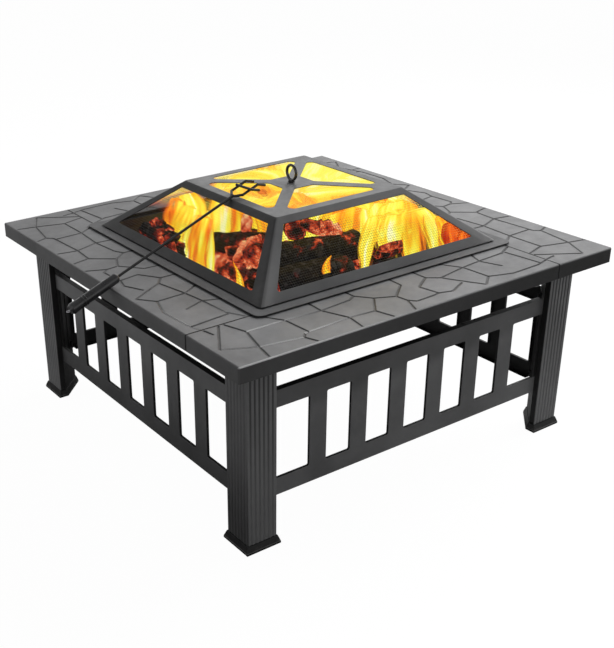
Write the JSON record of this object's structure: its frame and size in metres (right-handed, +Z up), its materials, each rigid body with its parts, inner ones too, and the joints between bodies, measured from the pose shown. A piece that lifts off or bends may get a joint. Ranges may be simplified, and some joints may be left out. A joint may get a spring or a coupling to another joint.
{
  "type": "fire pit table",
  "caption": "Square fire pit table with paved-pattern top, slatted sides, drop-in fire bowl, log grate, domed spark-screen lid and a poker leaning on it.",
  "frame": {"origin": "on the floor, under the middle of the bounding box, which the poker's overhanging grip makes longer towards -X; the table's own centre is 42.6 mm towards +X", "axes": "+Z up; +X away from the poker's grip, along the poker; side a of the table faces -Y, b +X, c +Y and d -X"},
  "size_m": [0.8952, 0.81, 0.4965],
  "materials": {
    "table_top_paint": "satin grey-black powder coat",
    "frame_paint": "satin black powder coat",
    "foot_paint": "satin black powder coat",
    "black_bolts": "black oxide",
    "plated_steel": "zinc plated",
    "bowl_paint": "heat-resistant black paint, sooted inside",
    "grate_iron": "sooted black steel",
    "lid_paint": "satin black paint",
    "spark_mesh": "black woven wire",
    "eye_paint": "gloss black paint",
    "grip": "satin black moulded grip",
    "poker_wire": "black painted wire"
  },
  "bodies": {
    "table": {"top_plate_a": "table_top_paint", "top_plate_b": "table_top_paint", "top_plate_c": "table_top_paint", "top_plate_d": "table_top_paint", "leg_front": "frame_paint", "leg_right": "frame_paint", "leg_back": "frame_paint", "leg_left": "frame_paint", "foot_front": "foot_paint", "foot_right": "foot_paint", "foot_back": "foot_paint", "foot_left": "foot_paint", "side_panel_a": "frame_paint", "side_panel_b": "frame_paint", "side_panel_c": "frame_paint", "side_panel_d": "frame_paint", "panel_bolts": "black_bolts", "panel_nuts": "plated_steel", "top_studs": "plated_steel", "top_nuts": "plated_steel"},
    "bowl": {"fire_bowl": "bowl_paint"},
    "grate": {"grate_rails": "grate_iron", "grate_bars": "grate_iron"},
    "lid": {"lid_frame": "lid_paint", "lid_mesh_a": "spark_mesh", "lid_mesh_b": "spark_mesh", "lid_mesh_c": "spark_mesh", "lid_mesh_d": "spark_mesh", "lid_mesh_top": "spark_mesh", "lid_eye": "eye_paint", "lid_washer": "plated_steel", "lid_nut": "plated_steel"},
    "poker": {"poker_rod": "poker_wire", "poker_fork": "poker_wire", "poker_hook": "poker_wire", "poker_grip": "grip", "poker_eyelet": "plated_steel"}
  },
  "joints": [
    {"name": "bowl_lift", "type": "slide", "parent": "table", "child": "bowl", "axis": [0, 0, 1], "range_m": [0, 0.15]},
    {"name": "grate_lift", "type": "slide", "parent": "bowl", "child": "grate", "axis": [0, 0, 1], "range_m": [0, 0.04]},
    {"name": "lid_lift", "type": "slide", "parent": "bowl", "child": "lid", "axis": [0, 0, 1], "range_m": [0, 0.15]},
    {"name": "poker_lift", "type": "slide", "parent": "lid", "child": "poker", "axis": [0, 0, 1], "range_m": [0, 0.12]}
  ]
}
